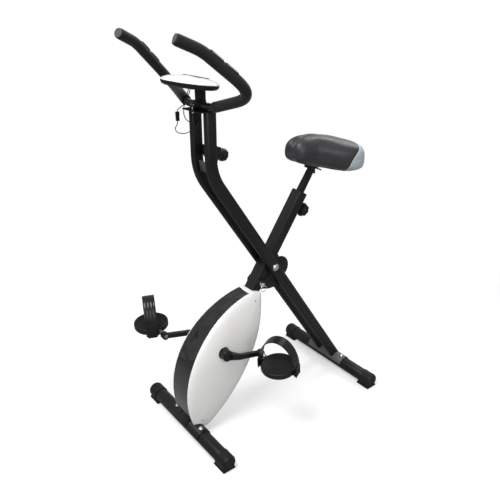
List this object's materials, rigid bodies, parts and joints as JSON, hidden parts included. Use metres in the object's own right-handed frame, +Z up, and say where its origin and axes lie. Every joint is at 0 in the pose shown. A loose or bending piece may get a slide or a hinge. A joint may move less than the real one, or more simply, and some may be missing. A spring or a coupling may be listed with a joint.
{
  "type": "folding exercise bike",
  "caption": "Upright exercise bike with a folding X frame, covered flywheel housing, padded saddle, toe strap pedals and a curved handlebar with a small console.",
  "frame": {"origin": "on the floor under the middle of the bike's bounding box", "axes": "+X forward to the handlebar's grips, +Y to the rider's left, +Z up"},
  "size_m": [0.6787, 0.4654, 1.1384],
  "materials": {
    "seat_tube": "satin black powder coat",
    "front_foot_tube": "satin black powder coat",
    "front_foot_bolts": "bright zinc plate",
    "front_foot_caps": "moulded black plastic",
    "pivot_bracket": "satin black powder coat",
    "bottom_bracket": "satin black powder coat",
    "ball_bearings": "ground steel",
    "left_shell": "glossy warm white",
    "right_shell": "glossy warm white",
    "front_band": "glossy black",
    "shell_screws": "bright zinc plate",
    "speed_sensor": "moulded black plastic",
    "seat_sleeve": "moulded black plastic",
    "drive_belt": "black ribbed belt",
    "left_upright": "satin black powder coat",
    "right_upright": "satin black powder coat",
    "upright_brace": "satin grey paint",
    "lock_plates": "satin black powder coat",
    "rear_foot_tube": "satin black powder coat",
    "rear_foot_bolts": "bright zinc plate",
    "rear_foot_caps": "moulded black plastic",
    "pivot_bolt": "bright zinc plate",
    "handlebar": "black enamel",
    "handlebar_clamp": "satin black powder coat",
    "clamp_bolts": "bright zinc plate",
    "foam_grips": "dense black foam",
    "bar_end_plugs": "moulded black plastic",
    "pulse_sensors": "brushed contact plates",
    "console_post": "moulded black plastic",
    "console_base": "moulded black plastic",
    "console_cover": "glossy warm white",
    "console_display": "glossy black",
    "console_board": "green circuit board",
    "tension_housing": "moulded black plastic",
    "console_leads": "black cable jacket",
    "lead_plug": "moulded black plastic",
    "lock_pin": "bright zinc plate",
    "pin_ring": "bright zinc plate",
    "seat_post": "satin black powder coat",
    "saddle_base": "moulded black plastic",
    "saddle_pad": "black vinyl",
    "saddle_corners": "blue grey vinyl",
    "seat_knob": "moulded black plastic",
    "console_button": "moulded black plastic",
    "tension_knob": "moulded black plastic",
    "magnet_arm": "ground steel",
    "crank_axle": "ground steel",
    "left_crank": "black enamel",
    "right_crank": "black enamel",
    "crank_pulley": "natural nylon",
    "crank_caps": "moulded black plastic",
    "pedal_axles": "ground steel",
    "flywheel": "turned cast iron",
    "flywheel_axle": "ground steel",
    "left_pedal": "moulded black plastic",
    "left_strap": "soft ribbed PVC",
    "left_reflectors": "red reflector lens",
    "right_pedal": "moulded black plastic",
    "right_strap": "soft ribbed PVC",
    "right_reflectors": "red reflector lens"
  },
  "bodies": {
    "main_frame": {"seat_tube": "seat_tube", "front_foot_tube": "front_foot_tube", "front_foot_bolts": "front_foot_bolts", "front_foot_caps": "front_foot_caps", "pivot_bracket": "pivot_bracket", "bottom_bracket": "bottom_bracket", "ball_bearings": "ball_bearings", "left_shell": "left_shell", "right_shell": "right_shell", "front_band": "front_band", "shell_screws": "shell_screws", "speed_sensor": "speed_sensor", "seat_sleeve": "seat_sleeve", "drive_belt": "drive_belt"},
    "rear_frame": {"left_upright": "left_upright", "right_upright": "right_upright", "upright_brace": "upright_brace", "lock_plates": "lock_plates", "rear_foot_tube": "rear_foot_tube", "rear_foot_bolts": "rear_foot_bolts", "rear_foot_caps": "rear_foot_caps", "pivot_bolt": "pivot_bolt", "handlebar": "handlebar", "handlebar_clamp": "handlebar_clamp", "clamp_bolts": "clamp_bolts", "foam_grips": "foam_grips", "bar_end_plugs": "bar_end_plugs", "pulse_sensors": "pulse_sensors", "console_post": "console_post", "console_base": "console_base", "console_cover": "console_cover", "console_display": "console_display", "console_board": "console_board", "tension_housing": "tension_housing", "console_leads": "console_leads", "lead_plug": "lead_plug"},
    "lock_pin": {"lock_pin": "lock_pin"},
    "pin_ring": {"pin_ring": "pin_ring"},
    "seat": {"seat_post": "seat_post", "saddle_base": "saddle_base", "saddle_pad": "saddle_pad", "saddle_corners": "saddle_corners"},
    "seat_knob": {"seat_knob": "seat_knob"},
    "console_button": {"console_button": "console_button"},
    "tension_knob": {"tension_knob": "tension_knob"},
    "magnet_arm": {"magnet_arm": "magnet_arm"},
    "crank": {"crank_axle": "crank_axle", "left_crank": "left_crank", "right_crank": "right_crank", "crank_pulley": "crank_pulley", "crank_caps": "crank_caps", "pedal_axles": "pedal_axles"},
    "flywheel": {"flywheel": "flywheel", "flywheel_axle": "flywheel_axle"},
    "left_pedal": {"left_pedal": "left_pedal", "left_strap": "left_strap", "left_reflectors": "left_reflectors"},
    "right_pedal": {"right_pedal": "right_pedal", "right_strap": "right_strap", "right_reflectors": "right_reflectors"}
  },
  "joints": [
    {"name": "fold", "type": "hinge", "parent": "main_frame", "child": "rear_frame", "pos_m": [-0.02222, 0, 0.47554], "axis": [0, -1, 0], "range_deg": [0, 30]},
    {"name": "lock_pin_pull", "type": "slide", "parent": "rear_frame", "child": "lock_pin", "axis": [0, 1, 0], "range_m": [0, 0.04]},
    {"name": "pin_ring_swing", "type": "hinge", "parent": "lock_pin", "child": "pin_ring", "pos_m": [0.02171, 0.03825, 0.42919], "axis": [1, 0, 0], "range_deg": [-15, 85]},
    {"name": "seat_height", "type": "slide", "parent": "main_frame", "child": "seat", "axis": [-0.5592, 0, 0.829], "range_m": [-0.04, 0.08]},
    {"name": "seat_knob_pull", "type": "slide", "parent": "main_frame", "child": "seat_knob", "axis": [-0.829, 0, -0.5592], "range_m": [0, 0.009], "stiffness_N_per_m": 900, "springref_m": -0.006},
    {"name": "console_button_press", "type": "slide", "parent": "rear_frame", "child": "console_button", "axis": [0.1478, 0, -0.989], "range_m": [0, 0.0012], "stiffness_N_per_m": 600, "springref_m": -0.001},
    {"name": "tension_knob_turn", "type": "hinge", "parent": "rear_frame", "child": "tension_knob", "pos_m": [0.14828, 0, 0.83841], "axis": [-0.9272, 0, -0.3746], "range_deg": [0, 270]},
    {"name": "magnet_arm_swing", "type": "hinge", "parent": "main_frame", "child": "magnet_arm", "pos_m": [0.19303, 0, 0.23957], "axis": [0, 1, 0], "range_deg": [0, 4.5]},
    {"name": "crank_spin", "type": "hinge", "parent": "main_frame", "child": "crank", "pos_m": [0.18192, 0, 0.26947], "axis": [0, 1, 0], "continuous": true},
    {"name": "flywheel_spin", "type": "hinge", "parent": "main_frame", "child": "flywheel", "pos_m": [0.21016, 0, 0.1498], "axis": [0, 1, 0], "continuous": true},
    {"name": "left_pedal_spin", "type": "hinge", "parent": "crank", "child": "left_pedal", "pos_m": [0.07353, 0, 0.24123], "axis": [0, 1, 0], "continuous": true},
    {"name": "right_pedal_spin", "type": "hinge", "parent": "crank", "child": "right_pedal", "pos_m": [0.2903, 0, 0.2977], "axis": [0, 1, 0], "continuous": true}
  ],
  "couplings": [
    {"joint": "lock_pin_pull", "follows": "fold", "m_per_rad": 0.076393},
    {"joint": "magnet_arm_swing", "follows": "tension_knob_turn", "ratio": 0.016666},
    {"joint": "flywheel_spin", "follows": "crank_spin", "ratio": 3.5}
  ]
}
